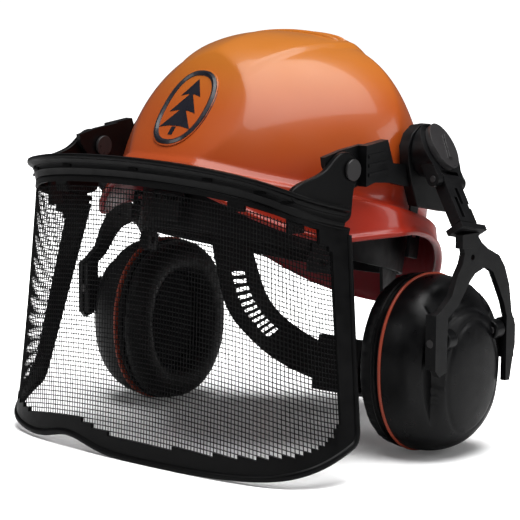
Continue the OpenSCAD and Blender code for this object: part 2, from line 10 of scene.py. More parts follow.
import bmesh
import bpy
import numpy as np
from mathutils import Matrix, Vector
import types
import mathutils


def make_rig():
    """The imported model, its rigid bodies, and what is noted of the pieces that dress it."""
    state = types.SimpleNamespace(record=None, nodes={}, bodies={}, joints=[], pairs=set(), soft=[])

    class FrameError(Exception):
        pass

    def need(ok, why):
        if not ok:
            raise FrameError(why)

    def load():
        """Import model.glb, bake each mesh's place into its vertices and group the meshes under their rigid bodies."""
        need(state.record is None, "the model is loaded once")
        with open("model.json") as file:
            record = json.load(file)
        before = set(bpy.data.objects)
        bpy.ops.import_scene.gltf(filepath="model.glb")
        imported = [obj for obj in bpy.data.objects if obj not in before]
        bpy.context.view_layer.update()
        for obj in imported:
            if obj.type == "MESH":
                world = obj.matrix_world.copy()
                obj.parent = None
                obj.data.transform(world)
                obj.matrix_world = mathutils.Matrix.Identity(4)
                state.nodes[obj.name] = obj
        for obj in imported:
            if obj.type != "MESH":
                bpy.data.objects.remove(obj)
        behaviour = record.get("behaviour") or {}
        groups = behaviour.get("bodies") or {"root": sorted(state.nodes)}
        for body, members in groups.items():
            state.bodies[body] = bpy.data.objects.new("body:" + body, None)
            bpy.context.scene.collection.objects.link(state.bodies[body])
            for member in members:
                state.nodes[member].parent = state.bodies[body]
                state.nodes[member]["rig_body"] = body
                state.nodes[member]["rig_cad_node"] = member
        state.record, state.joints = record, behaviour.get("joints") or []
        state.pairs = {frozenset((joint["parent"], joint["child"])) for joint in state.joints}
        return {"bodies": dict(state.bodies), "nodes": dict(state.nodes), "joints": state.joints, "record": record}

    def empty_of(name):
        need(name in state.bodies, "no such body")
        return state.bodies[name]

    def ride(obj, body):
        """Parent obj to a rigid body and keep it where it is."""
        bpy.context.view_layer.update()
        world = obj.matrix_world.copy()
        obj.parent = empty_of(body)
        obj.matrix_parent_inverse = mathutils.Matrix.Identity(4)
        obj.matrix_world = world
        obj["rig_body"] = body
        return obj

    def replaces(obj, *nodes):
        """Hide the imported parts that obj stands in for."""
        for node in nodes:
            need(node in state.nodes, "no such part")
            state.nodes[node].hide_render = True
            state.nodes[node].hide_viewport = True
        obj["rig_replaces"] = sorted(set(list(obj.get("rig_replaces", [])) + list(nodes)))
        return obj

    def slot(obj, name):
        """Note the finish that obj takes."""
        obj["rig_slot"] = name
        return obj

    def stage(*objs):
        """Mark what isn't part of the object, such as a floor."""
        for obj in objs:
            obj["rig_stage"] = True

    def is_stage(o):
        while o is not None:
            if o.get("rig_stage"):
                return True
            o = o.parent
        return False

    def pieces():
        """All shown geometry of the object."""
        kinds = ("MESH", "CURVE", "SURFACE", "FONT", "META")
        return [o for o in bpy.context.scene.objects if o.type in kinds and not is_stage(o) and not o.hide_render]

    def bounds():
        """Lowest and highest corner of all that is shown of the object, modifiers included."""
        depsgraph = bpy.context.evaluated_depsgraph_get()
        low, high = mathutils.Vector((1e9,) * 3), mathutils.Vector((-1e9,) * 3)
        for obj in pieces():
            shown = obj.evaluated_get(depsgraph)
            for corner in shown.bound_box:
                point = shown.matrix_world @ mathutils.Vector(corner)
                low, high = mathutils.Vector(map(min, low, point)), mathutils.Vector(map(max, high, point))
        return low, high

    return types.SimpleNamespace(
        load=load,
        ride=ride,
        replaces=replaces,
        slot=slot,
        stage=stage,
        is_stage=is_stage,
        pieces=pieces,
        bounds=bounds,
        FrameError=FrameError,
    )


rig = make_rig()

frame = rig.load()
START_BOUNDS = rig.bounds()
MM = 0.001

SHELL_TILT = math.radians(12.0)
SHELL_Y, SHELL_Z = 8, 122            # origin of the shell frame
SHELL_BODY = "shell_body"
CUP_BODY = "cup_{}_body"             # {} takes the side


# ------------------------------------------------------------------ numbers and points
def signed_power(v, power):
    return np.sign(v) * np.abs(v) ** power


def smooth_step(start, end, x):
    t = np.clip((np.asarray(x, float) - start) / (end - start), 0, 1)
    return t * t * (3 - 2 * t)


def smooth_max(a, b, width):
    h = np.maximum(width - np.abs(a - b), 0) / width
    return np.maximum(a, b) + h * h * width / 4


def blend(a, b, t):
    return a * (1 - t) + b * t


def unit(v):
    return v / np.maximum(np.linalg.norm(v, axis=-1, keepdims=True), 1e-12)


def turn(count):
    """Evenly spaced angles round a full turn."""
    return np.linspace(0, 2 * np.pi, count + 1)[:-1]


def run_length(points):
    """Distance travelled along a polyline at each point."""
    steps = np.linalg.norm(np.diff(points, axis=0), axis=1)
    return np.concatenate([[0], np.cumsum(steps)])


def shell_to_world(points):
    points = np.asarray(points, float)
    x, y, z = points[..., 0], points[..., 1], points[..., 2]
    c, s = math.cos(SHELL_TILT), math.sin(SHELL_TILT)
    return np.stack([x, SHELL_Y + y * c + z * s, SHELL_Z - y * s + z * c], -1)


# ------------------------------------------------------------------ faces and simple solids
def grid_faces(rows, n):
    """Quads between successive rings of n vertices."""
    i, j = np.meshgrid(np.arange(rows - 1), np.arange(n), indexing="ij")
    k = (j + 1) % n
    quads = [i * n + j, i * n + k, (i + 1) * n + k, (i + 1) * n + j]
    return np.stack(quads, -1).reshape(-1, 4).tolist()


def cap(row, n):
    return list(range(row * n, (row + 1) * n))


def capped_faces(rows, n):
    return grid_faces(rows, n) + [cap(0, n), cap(rows - 1, n)[::-1]]


def looped_faces(rows, n):
    """Grid faces with the last ring joined to the first."""
    last = (rows - 1) * n
    closing = [[last + j, last + (j + 1) % n, (j + 1) % n, j] for j in range(n)]
    return grid_faces(rows, n) + closing


def lengthwise(lines):
    """Vertices of rings, from one long line for each point of the section."""
    return np.array(lines).transpose(1, 0, 2).reshape(-1, 3)


def tube(path, radius, n=8, closed=False, ref=(0, 0, 1)):
    path = np.asarray(path, float)
    rows = len(path)
    if closed:
        along = unit(np.roll(path, -1, 0) - np.roll(path, 1, 0))
    else:
        along = unit(np.gradient(path, axis=0))
    across = unit(np.cross(along, np.broadcast_to(np.asarray(ref, float), path.shape)))
    third = np.cross(across, along)
    angle = (np.arange(n) / n * 2 * np.pi)[None, :, None]
    radius = np.broadcast_to(np.asarray(radius, float), (rows,))[:, None, None]
    spokes = np.cos(angle) * across[:, None] + np.sin(angle) * third[:, None]
    verts = (path[:, None] + radius * spokes).reshape(-1, 3)
    return verts, (looped_faces if closed else capped_faces)(rows, n)


def box(low, high):
    verts = [[(low, high)[i >> axis & 1][axis] for axis in range(3)] for i in range(8)]
    faces = [[0, 2, 3, 1], [4, 5, 7, 6], [0, 1, 5, 4], [2, 6, 7, 3], [0, 4, 6, 2], [1, 3, 7, 5]]
    return np.array(verts, float), faces


def join(parts):
    all_verts, all_faces, start = [], [], 0
    for verts, faces in parts:
        all_verts.append(np.asarray(verts, float).reshape(-1, 3))
        all_faces += [[int(i) + start for i in face] for face in faces]
        start += len(all_verts[-1])
    return np.concatenate(all_verts), all_faces


# ------------------------------------------------------------------ objects
def place(name, mesh, body, slot, rep, bevel, seg, bevel_angle):
    """Make the object for a mesh and register it; rep is the CAD node it replaces."""
    ob = bpy.data.objects.new(name, mesh)
    bpy.context.scene.collection.objects.link(ob)
    if bevel:
        mod = ob.modifiers.new("bevel", "BEVEL")
        mod.width = bevel * MM
        mod.segments = seg
        mod.limit_method = "ANGLE"
        mod.angle_limit = math.radians(bevel_angle)
        mod.harden_normals = True
    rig.ride(ob, body)
    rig.slot(ob, slot)
    if rep:
        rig.replaces(ob, rep)


def piece(name, verts, faces, body, slot, mats, rep=None, angle=38, bevel=0.0, seg=2,
          face_mats=None, recalc=True):
    """An object from vertices in mm; edges sharper than angle (degrees) stay sharp."""
    mesh = bpy.data.meshes.new(name)
    mesh.from_pydata((np.asarray(verts, float) * MM).tolist(), [], faces)
    for mat in mats if isinstance(mats, list) else [mats]:
        mesh.materials.append(mat)
    if face_mats is not None:
        mesh.polygons.foreach_set("material_index", np.asarray(face_mats, np.int32))
    if recalc:
        bm = bmesh.new()
        bm.from_mesh(mesh)
        bmesh.ops.recalc_face_normals(bm, faces=bm.faces)
        bm.to_mesh(mesh)
        bm.free()
    mesh.shade_smooth()
    if angle < 179:
        mesh.set_sharp_from_angle(angle=math.radians(angle))
    place(name, mesh, body, slot, rep, bevel, seg, bevel_angle=32)


def piece_pair(name, verts, faces, body, slot, mats, rep="", **options):
    """The left piece and its mirror image; {} in body and rep takes the side."""
    mirrored = np.array(verts, float)
    mirrored[..., 0] *= -1
    turned = [tuple(reversed(face)) for face in faces]
    for side, v, f in (("left", verts, faces), ("right", mirrored, turned)):
        piece(f"{name}_{side}", v, f, body.format(side), slot, mats, rep.format(side), **options)


def cad_piece(cad_node, mat, body, slot, bevel, seg=2, angle=32):
    """A bevelled piece made from a CAD node's own faces, merged where they are flat."""
    bm = bmesh.new()
    bm.from_mesh(frame["nodes"][cad_node].data)
    bmesh.ops.remove_doubles(bm, verts=bm.verts, dist=2e-6)
    bmesh.ops.dissolve_limit(bm, angle_limit=math.radians(0.6), verts=bm.verts, edges=bm.edges)
    mesh = bpy.data.meshes.new(cad_node + "_form")
    bm.to_mesh(mesh)
    bm.free()
    mesh.materials.append(mat)
    if "custom_normal" in mesh.attributes:
        mesh.attributes.remove(mesh.attributes["custom_normal"])
    mesh.shade_smooth()
    mesh.set_sharp_from_angle(angle=math.radians(angle))
    mesh.polygons.foreach_set("material_index", np.zeros(len(mesh.polygons), np.int32))
    place(cad_node + "_form", mesh, body, slot, cad_node, bevel, seg, angle)


# ------------------------------------------------------------------ shader nodes
MIX_FACTOR, MIX_A, MIX_B, MIX_RESULT = 0, 6, 7, 2    # colour sockets of a Mix node


def node(tree, kind, **values):
    """A new shader node; a value goes to the input of its name, or else to the setting."""
    made = tree.nodes.new("ShaderNode" + kind)
    for key, value in values.items():
        if key in made.inputs:
            made.inputs[key].default_value = value
        else:
            setattr(made, key, value)
    return made


def noise(tree, coords, **values):
    made = node(tree, "TexNoise", **values)
    tree.links.new(coords, made.inputs["Vector"])
    return made.outputs["Fac"]


def wave(tree, coords, scale, direction):
    made = node(tree, "TexWave", Scale=scale, Distortion=0.4, wave_type="BANDS",
                bands_direction=direction)
    tree.links.new(coords, made.inputs["Vector"])
    return made.outputs["Fac"]


def math_node(tree, operation, a, b):
    made = node(tree, "Math", operation=operation)
    tree.links.new(a, made.inputs[0])
    tree.links.new(b, made.inputs[1])
    return made.outputs[0]


def map_range(tree, source, from_min=0.0, from_max=1.0, to_min=0.0, to_max=1.0, **settings):
    made = node(tree, "MapRange", **settings)
    limits = {"From Min": from_min, "From Max": from_max, "To Min": to_min, "To Max": to_max}
    for key, value in limits.items():
        made.inputs[key].default_value = value
    tree.links.new(source, made.inputs["Value"])
    return made.outputs[0]


def height_ramp(tree, coords, low, high, colours):
    """Colours from the low to the high object Z, in metres."""
    split = node(tree, "SeparateXYZ")
    tree.links.new(coords, split.inputs[0])
    height = map_range(tree, split.outputs["Z"], low, high)
    ramp = node(tree, "ValToRGB")
    ramp.color_ramp.interpolation = "EASE"
    stops = ramp.color_ramp.elements
    stops[0].position, stops[0].color = 0, (*colours[0], 1)
    stops[1].position, stops[1].color = 1, (*colours[-1], 1)
    for k, colour in enumerate(colours[1:-1], 1):
        stops.new(k / (len(colours) - 1)).color = (*colour, 1)
    tree.links.new(height, ramp.inputs["Fac"])
    return ramp.outputs["Color"]


def new_material(name):
    mat = bpy.data.materials.new(name)
    mat.use_nodes = True
    return mat, mat.node_tree, mat.node_tree.nodes["Principled BSDF"]


def surface(name, colour, rough=0.45, rough_var=0.08, var=0.12, var_scale=45.0, grain=0.25,
            grain_scale=2600.0, grain_depth=0.00012, coat=0.0, metal=0.0, spec=0.5, sheen=0.0,
            wear=0.06, gradient=None, weave=None):
    """A moulded or woven surface.

    var and rough_var spread brightness and roughness either way over patches of var_scale.
    grain is the strength of the fine bump and grain_depth its height in metres. wear is the
    strength of the pale flecks. gradient is (low z, high z, colours) and replaces the base
    colour. weave is the scale of two crossed sets of bands.
    """
    mat, tree, bsdf = new_material(name)
    link = tree.links.new
    coords = node(tree, "TexCoord").outputs["Object"]

    patches = noise(tree, coords, Scale=var_scale, Detail=4.0, Roughness=0.55)
    brightness = map_range(tree, patches, 0.3, 0.7, 1 - var, 1 + var)
    if gradient is None:
        rgb = node(tree, "RGB")
        rgb.outputs[0].default_value = (*colour, 1)
        base = rgb.outputs[0]
    else:
        base = height_ramp(tree, coords, *gradient)
    scaled = node(tree, "VectorMath", operation="SCALE")
    link(base, scaled.inputs[0])
    link(brightness, scaled.inputs["Scale"])

    fleck_noise = noise(tree, coords, Scale=900.0, Detail=6.0, Roughness=0.7)
    flecks = map_range(tree, fleck_noise, 0.66, 0.8, to_max=wear)
    worn = node(tree, "Mix", data_type="RGBA")
    link(flecks, worn.inputs[MIX_FACTOR])
    link(scaled.outputs[0], worn.inputs[MIX_A])
    worn.inputs[MIX_B].default_value = (*(min(1, c * 2 + 0.15) for c in colour), 1)
    link(worn.outputs[MIX_RESULT], bsdf.inputs["Base Color"])

    rough_noise = noise(tree, coords, Scale=var_scale * 3.1, Detail=3.0)
    roughness = map_range(tree, rough_noise, 0.3, 0.7,
                          max(0.02, rough - rough_var), rough + rough_var)
    link(roughness, bsdf.inputs["Roughness"])

    height = noise(tree, coords, Scale=grain_scale, Detail=2.0, Roughness=0.6)
    bump = node(tree, "Bump", Strength=grain, Distance=grain_depth)
    if weave is not None:
        warp = wave(tree, coords, weave, "DIAGONAL")
        weft = wave(tree, coords, weave * 1.07, "Z")
        height = math_node(tree, "ADD", math_node(tree, "MULTIPLY", warp, weft), height)
    link(height, bump.inputs["Height"])
    link(bump.outputs[0], bsdf.inputs["Normal"])

    bsdf.inputs["Metallic"].default_value = metal
    bsdf.inputs["Specular IOR Level"].default_value = spec
    bsdf.inputs["Coat Weight"].default_value = coat
    bsdf.inputs["Coat Roughness"].default_value = 0.06
    if sheen:
        bsdf.inputs["Sheen Weight"].default_value = sheen
        bsdf.inputs["Sheen Roughness"].default_value = 0.5
    return mat


# ------------------------------------------------------------------ materials
# painted shade: darker red at the rim to lighter orange at the crown, standing in for the overhead light falling on
# the top of an evenly coloured shell
SHELL_SHADE_RAMP = [(0.40, 0.018, 0.012), (0.46, 0.030, 0.012), (0.56, 0.100, 0.012),
                 (0.64, 0.20, 0.020)]
# the shell's base colour follows that painted shade ramp by height
ORANGE = surface("shell_orange", (0.62, 0.13, 0.03), rough=0.32, rough_var=0.04, var=0.035,
                 var_scale=18, grain=0.04, grain_scale=1500, coat=0.32, wear=0.015, spec=0.4,
                 gradient=(0.10, 0.25, SHELL_SHADE_RAMP))
# painted shade: the inside of the shell is the same orange plastic, coloured darker and redder to stand in for the
# shade inside the shell
SHELL_INSIDE_SHADE = surface("shell_inside_painted_shade", (0.42, 0.012, 0.022), rough=0.42, var=0.08, var_scale=30,
                grain=0.12, coat=0.15, wear=0.0)
BADGE = surface("badge_dark", (0.012, 0.012, 0.02), rough=0.3, var=0.1, grain=0.05, coat=0.3)
BLACK = surface("black_fine_grain", (0.0034, 0.0034, 0.0040), spec=0.27, rough=0.43, var=0.15,
                grain=0.35, grain_scale=2800)
SATIN = surface("black_satin", (0.0018, 0.0018, 0.0021), spec=0.17, rough=0.38, var=0.15,
                grain=0.22, grain_scale=3200)
CUP_BLACK = surface("cup_black", (0.0022, 0.0022, 0.0027), spec=0.28, rough=0.34, grain=0.22,
                    grain_scale=3400)
KNOB = surface("knob_black", (0.032, 0.030, 0.031), rough=0.34, grain=0.15)
WIRE = surface("mesh_wire", (0.005, 0.005, 0.0055), spec=0.3, rough=0.4, var=0.2, grain=0.1,
               metal=0.2)
STEEL = surface("turned_steel", (0.30, 0.30, 0.31), rough=0.32, var=0.08, grain=0.15, metal=1.0)
CRADLE = surface("cradle_black", (0.006, 0.006, 0.007), spec=0.3, rough=0.5, var=0.15,
                 grain=0.3)
SWEAT = surface("sweat_fabric", (0.010, 0.010, 0.011), rough=0.88, var=0.2, grain=0.8,
                grain_scale=1500, grain_depth=0.0004, sheen=0.35, spec=0.2)
WEBBING = surface("webbing", (0.010, 0.010, 0.011), rough=0.85, var=0.2, grain=0.9,
                  grain_scale=1800, grain_depth=0.0004, sheen=0.3, spec=0.2, weave=420.0)
FOAM = surface("foam", (0.02, 0.02, 0.022), rough=0.95, var=0.25, var_scale=300, grain=1.0,
               grain_scale=900, grain_depth=0.0009, spec=0.1)
CORAL = surface("coral_trim", (0.50, 0.075, 0.035), rough=0.35, var=0.06, grain=0.1)
SKIN = surface("cushion_skin", (0.0022, 0.0022, 0.0026), spec=0.26, rough=0.42, rough_var=0.1,
               var_scale=80, grain=0.5, grain_scale=1300, grain_depth=0.00025)
RECESS = surface("recess_shadow", (0.0015, 0.0015, 0.0016), rough=0.8, var=0.2, spec=0.1)

# ------------------------------------------------------------------ shell form (shell frame)
HALF_WIDTH = 104.0
FRONT_LENGTH, REAR_LENGTH = 109.0, 127.0   # from the middle, at the foot of the dome
FRONT_FOOT = 106.4                         # front length of the skirt
FRONT_POWER, REAR_POWER = 1.363, 1.688     # plan superellipse at the foot
MID_Y, MID_SHIFT = -45.0, 18.1             # middle at the foot; its shift by the crown
BASE_Z, CROWN_Z = 20, 123.0
SIDE_POWER = 2.53                          # side profile superellipse
WALL = 3.0
BROW_Y, BROW_Z = -141, 29                  # foot of the sloping brow panel
BROW_LEAN = 0.5209                         # y per z on the panel
BROW_CURVE = 220                           # the panel bows back by x squared over this
RING_COUNT = 420                           # vertices in a shell ring
AROUND = np.linspace(-np.pi, np.pi, 2881)  # 0 is the front
IN_FRONT = np.cos(AROUND) > 0


def along_rim(y, stations):
    """Softened interpolation of (y, value) stations."""
    ys, values = np.array(stations, float).T
    return sum(np.interp(y + k * 4, ys, values) for k in range(-2, 3)) / 5


def plan_curve(width, length, power):
    return (width * signed_power(np.sin(AROUND), 2 / power),
            length * signed_power(np.cos(AROUND), 2 / power))


def foot(outset=0.0):
    """Plan of the shell's foot, pushed out all round."""
    power = np.where(IN_FRONT, FRONT_POWER, REAR_POWER)
    length = np.where(IN_FRONT, FRONT_FOOT, REAR_LENGTH)
    x, y = plan_curve(HALF_WIDTH + outset, length + outset, power)
    return x, MID_Y - y


# heights and outsets of the gutter and the lip, tabled as (y, value)
RIM_Y = np.maximum(foot()[1], BROW_Y)
GUTTER_Z = along_rim(RIM_Y, [[-141, 30], [-117, 26.5], [-40, 23], [0, 20.5], [50, 16], [92, 12]])
LIP_Z = along_rim(RIM_Y, [
    [-150, 17], [-135, 13], [-121, 5], [-109, -1], [-94, -5], [-80, -6.5], [-62, 0], [-37, 7],
    [-15, 6.5], [8, 2], [27, -7], [45, -18], [65, -30], [80, -36], [95, -39]])
GUTTER_OUT = along_rim(RIM_Y, [[-141, 2.5], [-117, 5], [-58, 7], [40, 7], [92, 5]])
LIP_OUT = along_rim(RIM_Y, [[-141, 4.5], [-117, 9], [-58, 13], [40, 13], [92, 10]])


def crown_band(x, y, z):
    """Height of the raised band that runs front to back over the crown."""
    half = np.where(y < -44, 29 + 15 * np.maximum(0, (y + 109) / 65), 44 + 0.1 * (y + 44))
    height = 1.7 * smooth_step(-112, -97, y) + 1.1 * smooth_step(-60, -15, y)
    within = 1 - smooth_step(half - 2.2, half + 2.2, np.abs(x))
    return height * (1 - smooth_step(52, 76, y)) * within * smooth_step(60, 90, z)


def quarter(rise, power):
    return np.maximum(1 - rise ** power, 0) ** (1 / power)


def dome_plan(rise, front, inset=0.0):
    """Width, length and power of the dome's plan; rise is 0 at the base and 1 at the crown."""
    width = (HALF_WIDTH - inset) * quarter(rise, SIDE_POWER)
    length = np.where(front, (FRONT_LENGTH - inset) * quarter(rise, 2.2) - 2.65 * (1 - rise),
                      (REAR_LENGTH - inset) * quarter(rise, 1.4))
    power = np.where(front, FRONT_POWER + 0.087 * rise, REAR_POWER - 0.251 * rise)
    return width, length, power


def even_ring(points):
    """Resample to RING_COUNT points, each half by itself so that rings match up."""
    run = run_length(points)
    half = len(points) // 2
    out = []
    for first, last in ((0, half), (half, len(points) - 1)):
        at = np.linspace(run[first], run[last], RING_COUNT // 2 + 1)[:-1]
        out.append(np.stack([np.interp(at, run, points[:, k]) for k in range(3)], -1))
    return np.concatenate(out)


def dome_ring(level, inset=0.0):
    """Ring at a level from 0 at the gutter to 1 at the crown."""
    top = CROWN_Z - inset
    z = GUTTER_Z + (top - GUTTER_Z) * level
    rise = np.clip((z - BASE_Z) / (top - BASE_Z), 0, 1)
    x, y = plan_curve(*dome_plan(rise, IN_FRONT, inset))
    y = MID_Y + MID_SHIFT * rise - y
    brow = BROW_Y + inset * 1.13 + (z - BROW_Z) * BROW_LEAN + x * x / BROW_CURVE
    y = np.where(IN_FRONT, smooth_max(y, brow, 1.2), y)
    if inset == 0:
        z = z + crown_band(x, y, z)
    return even_ring(np.stack([x, y, z], -1))


def skirt_ring(outset, z, brow_inset):
    x, y = foot(outset)
    brow = BROW_Y - outset + (z - BROW_Z) * 0.1 + brow_inset + x * x / BROW_CURVE
    y = np.where(IN_FRONT, smooth_max(y, brow, 1.2), y)
    return even_ring(np.stack([x, y, z], -1))


def dome_level(angle, highest):
    return min(math.sin(angle) ** (2 / SIDE_POWER), highest)


def shell_moulding():
    """Outer dome down to the lip, then back up the inside."""
    angles = np.concatenate([np.linspace(0.5 * np.pi - 0.02, 0.10, 120),
                             np.linspace(0.09, 0.012, 8)])
    rings = [dome_ring(dome_level(a, 0.99995)) for a in angles]
    outset, z, lip, lip_z = GUTTER_OUT, GUTTER_Z, LIP_OUT, LIP_Z
    # outset, height, inset of the brow
    outer = [
        (1.4, z - 0.6, 0), (outset - 1, z - 1.6, 0), (outset + 0.6, z - 3.2, 0),
        (blend(outset, lip, 0.3), blend(z, lip_z, 0.3), 0),
        (blend(outset, lip, 0.62), blend(z, lip_z, 0.6), 0),
        (lip - 0.6, lip_z + 4.5, 0), (lip + 1.6, lip_z + 2.6, 0), (lip + 1.4, lip_z + 0.4, 0)]
    inner = [
        (lip - 0.4, lip_z - 0.2, 1), (lip - 2.4 - WALL * 0.3, lip_z + 1.2, WALL),
        (blend(outset, lip, 0.55) - WALL, blend(z, lip_z, 0.55), WALL),
        (outset - WALL, z - 5.5, WALL), (0.4 - WALL, z - 3.8, WALL)]
    keys = [rings[-1]] + [skirt_ring(*row) for row in outer + inner] + [dome_ring(0.04, WALL)]
    steps = 4
    outer_rows = len(rings) + steps * len(outer)
    # between keys, a spline pulled a quarter of the way to the straight line
    for i in range(len(keys) - 1):
        a, b = keys[i], keys[i + 1]
        before, after = keys[max(i - 1, 0)], keys[min(i + 2, len(keys) - 1)]
        for u in np.linspace(0, 1, steps + 1)[1:]:
            spline = 0.5 * ((2 * a) + (b - before) * u
                            + (2 * before - 5 * a + 4 * b - after) * u * u
                            + (3 * a - before - 3 * b + after) * u ** 3)
            rings.append(blend(a + (b - a) * u, spline, 0.75))
    rings += [dome_ring(dome_level(a, 0.9999), WALL)
              for a in np.linspace(0.09, 0.5 * np.pi - 0.03, 46)]

    rows, n = len(rings), RING_COUNT
    last = (rows - 1) * n
    verts = np.concatenate(rings + [[rings[0].mean(0)], [rings[-1].mean(0)]])
    faces = grid_faces(rows, n)
    faces += [[(j + 1) % n, j, rows * n] for j in range(n)]
    faces += [[last + j, last + (j + 1) % n, rows * n + 1] for j in range(n)]
    face_mats = np.zeros(len(faces), int)
    # the inner faces take the darker red of the painted shade
    face_mats[outer_rows * n:last] = 1
    face_mats[-n:] = 1
    piece("shell_moulding", shell_to_world(verts), faces, SHELL_BODY, "shell_abs",
          [ORANGE, SHELL_INSIDE_SHADE], rep="shell", angle=60, face_mats=face_mats)


def dome_height(x, y):
    """Height of the outer dome above a point, found by halving."""
    low = np.zeros_like(x, float)
    high = np.ones_like(low)
    for _ in range(26):
        rise = (low + high) / 2
        mid = MID_Y + MID_SHIFT * rise
        width, length, power = dome_plan(rise, y < mid)
        width, length = np.maximum(width, 1e-6), np.maximum(length, 1e-6)
        reach = (np.abs(x) / width) ** power + (np.abs(y - mid) / length) ** power - 1
        low = np.where(reach < 0, rise, low)
        high = np.where(reach < 0, high, rise)
    z = BASE_Z + (CROWN_Z - BASE_Z) * (low + high) / 2
    return z + crown_band(x, y, z)


def shell_ribs():
    """Nine cross ribs over the crown band, tapered at their ends."""
    ribs = []
    step = 0.5
    for i in range(9):
        half = 39.5 - 0.3 * i
        x = np.linspace(-half, half, 61)
        y = np.full_like(x, -37 + 7.5 * i)
        slope_x = -(dome_height(x + step, y) - dome_height(x - step, y))
        slope_y = -(dome_height(x, y + step) - dome_height(x, y - step))
        normal = unit(np.stack([slope_x, slope_y, np.full_like(x, 2 * step)], -1))
        path = np.stack([x, y, dome_height(x, y)], -1) - normal * 0.3
        taper = np.sqrt(np.clip(1 - (np.abs(x) / half) ** 8, 0.02, 1))
        ribs.append(tube(path, 2.0 * taper, n=12))
    verts, faces = join(ribs)
    piece("shell_ribs", shell_to_world(verts), faces, SHELL_BODY, "shell_abs", ORANGE)


# ------------------------------------------------------------------ brow badge
BADGE_Z = 63
BADGE_HALF_WIDTH, BADGE_HALF_HEIGHT = 19.0, 28.5
PANEL_RISE, PANEL_RUN = 0.887, 0.462       # z and y per length up the panel


def on_panel(across, up, lift):
    """Point on the bowed brow panel, lifted off it."""
    z = BADGE_Z + up * PANEL_RISE
    y = BROW_Y + (z - BROW_Z) * BROW_LEAN + across * across / BROW_CURVE
    slope = across / (BROW_CURVE / 2)
    normal = unit(np.stack([slope, -np.ones_like(across), np.full_like(across, BROW_LEAN)], -1))
    return np.stack([across, y, z], -1) + normal * lift


def badge_ring(scale, lift):
    angles = turn(96)
    return on_panel(BADGE_HALF_WIDTH * scale * signed_power(np.cos(angles), 0.86),
                    BADGE_HALF_HEIGHT * scale * signed_power(np.sin(angles), 0.86), lift)


def brow_badge():
    # scale, lift
    profile = [(1.0, 0.05), (1.0, 0.75), (0.975, 0.95), (0.93, 0.9), (0.915, 0.7),
               (0.7, 0.7), (0.45, 0.7), (0.2, 0.7), (0.02, 0.7)]
    verts = np.concatenate([badge_ring(*row) for row in profile])
    faces = grid_faces(len(profile), 96) + [cap(len(profile) - 1, 96)]
    piece("brow_badge", shell_to_world(verts), faces, SHELL_BODY, "badge", ORANGE,
          rep="crown_emblem", angle=30)


def badge_tree():
    """Dark border and a tree of three pairs of boughs over a trunk."""
    lift = 0.9
    parts = [tube(badge_ring(0.90, -0.4), 2.3, closed=True, ref=(0, -PANEL_RISE, PANEL_RUN))]
    for top, bottom, reach in ((21, 8, 8.0), (11.5, -4, 10.5), (1, -15.5, 12.5)):
        up = np.array([top, bottom, bottom + 1.6, bottom + 1.6])
        for side in (-1, 1):
            across = np.array([0, side * reach, side * reach * 0.35, 0.0])
            parts.append((on_panel(across, up, lift), [[0, 1, 2, 3]]))
    trunk = on_panel(np.array([-1.7, 1.7, 1.7, -1.7]), np.array([-14.5, -14.5, -20.5, -20.5]),
                     lift)
    parts.append((trunk, [[0, 1, 2, 3]]))
    verts, faces = join(parts)
    piece("brow_badge_tree", shell_to_world(verts), faces, SHELL_BODY, "badge", BADGE, angle=30)


# ------------------------------------------------------------------ visor form (world frame)
UP = np.array([0, 0, 1.0])


def peak_curve(t, inset=0.0, lift=0.0):
    """Edge of the peak; t runs from -90 to 90 degrees across the front, 0 in the middle."""
    t = np.radians(np.asarray(t, float))
    u = 1 - np.cos(t)
    return np.stack([(126.43 - inset) * np.sin(t) + 12.62 * np.sin(3 * t),
                     -147.96 + inset + 21.65 * u + 46.72 * u * u,
                     182 + lift - 28.17 * u + 1.98 * u * u], -1)


def lower_curve(t):
    """Lower edge of the visor, with a small rise near t = -19."""
    t = np.asarray(t, float)
    a = np.radians(t)
    u = 1 - np.cos(a)
    rise = 7 * np.exp(-((t + 19) / 9) ** 2)
    return np.stack([143.8 * np.sin(a) + 8.28 * np.sin(3 * a),
                     -150.68 + 28.79 * u + 33.61 * u * u,
                     0.4 + 9.42 * u + 17.24 * u * u + rise], -1)


def peak_normal(t):
    d = peak_curve(t + 0.5) - peak_curve(t - 0.5)
    return unit(np.stack([d[..., 1], -d[..., 0], 0 * d[..., 0]], -1))


def visor_face(t, s):
    """Point on the visor; s is 0 under the peak and 1 at the lower edge."""
    top = peak_curve(t, inset=3.4, lift=-13.4)
    return blend(top, lower_curve(t * 85 / 90), np.asarray(s, float)[..., None])


def visor_normal(t, s):
    across = visor_face(t + 0.5, s) - visor_face(t - 0.5, s)
    down = visor_face(t, s + 0.01) - visor_face(t, s - 0.01)
    return unit(np.cross(down, across))


def visor_point(t, s, offset):
    return visor_face(t, s) - visor_normal(t, s) * offset


def visor_peak():
    """Brim and hanging band, swept along the peak curve."""
    sections = []
    angles = np.linspace(-90, 90, 180)
    for t in angles:
        depth = 6.5 + 9.5 * math.cos(np.radians(t))
        under = depth * 0.12
        # out, up
        profile = np.array([
            [0, 0.7], [0.25, 0.1], [0.25, -0.9], [0, -1.5], [-2.0, -2.2], [-2.6, -3.0],
            [-3.1, -4.6], [-3.7, -4.9], [-4.0, -7.6], [-3.75, -8.1], [-4.2, -8.6],
            [-4.9, -12.2], [-5.3, -12.5], [-7.4, -12.5], [-7.8, -12.2], [-5.8, -4.2],
            [-depth, -3.4 - under], [-depth - 0.3, -2.3 - under], [-depth, -1.3 - under],
            [-2, 0.9]])
        sections.append(peak_curve(t) + profile[:, :1] * peak_normal(t) + profile[:, 1:] * UP)
    faces = capped_faces(len(angles), len(sections[0]))
    piece("visor_peak_brim", np.concatenate(sections), faces, "visor", "peak_moulding", SATIN,
          rep="visor_peak", angle=40)


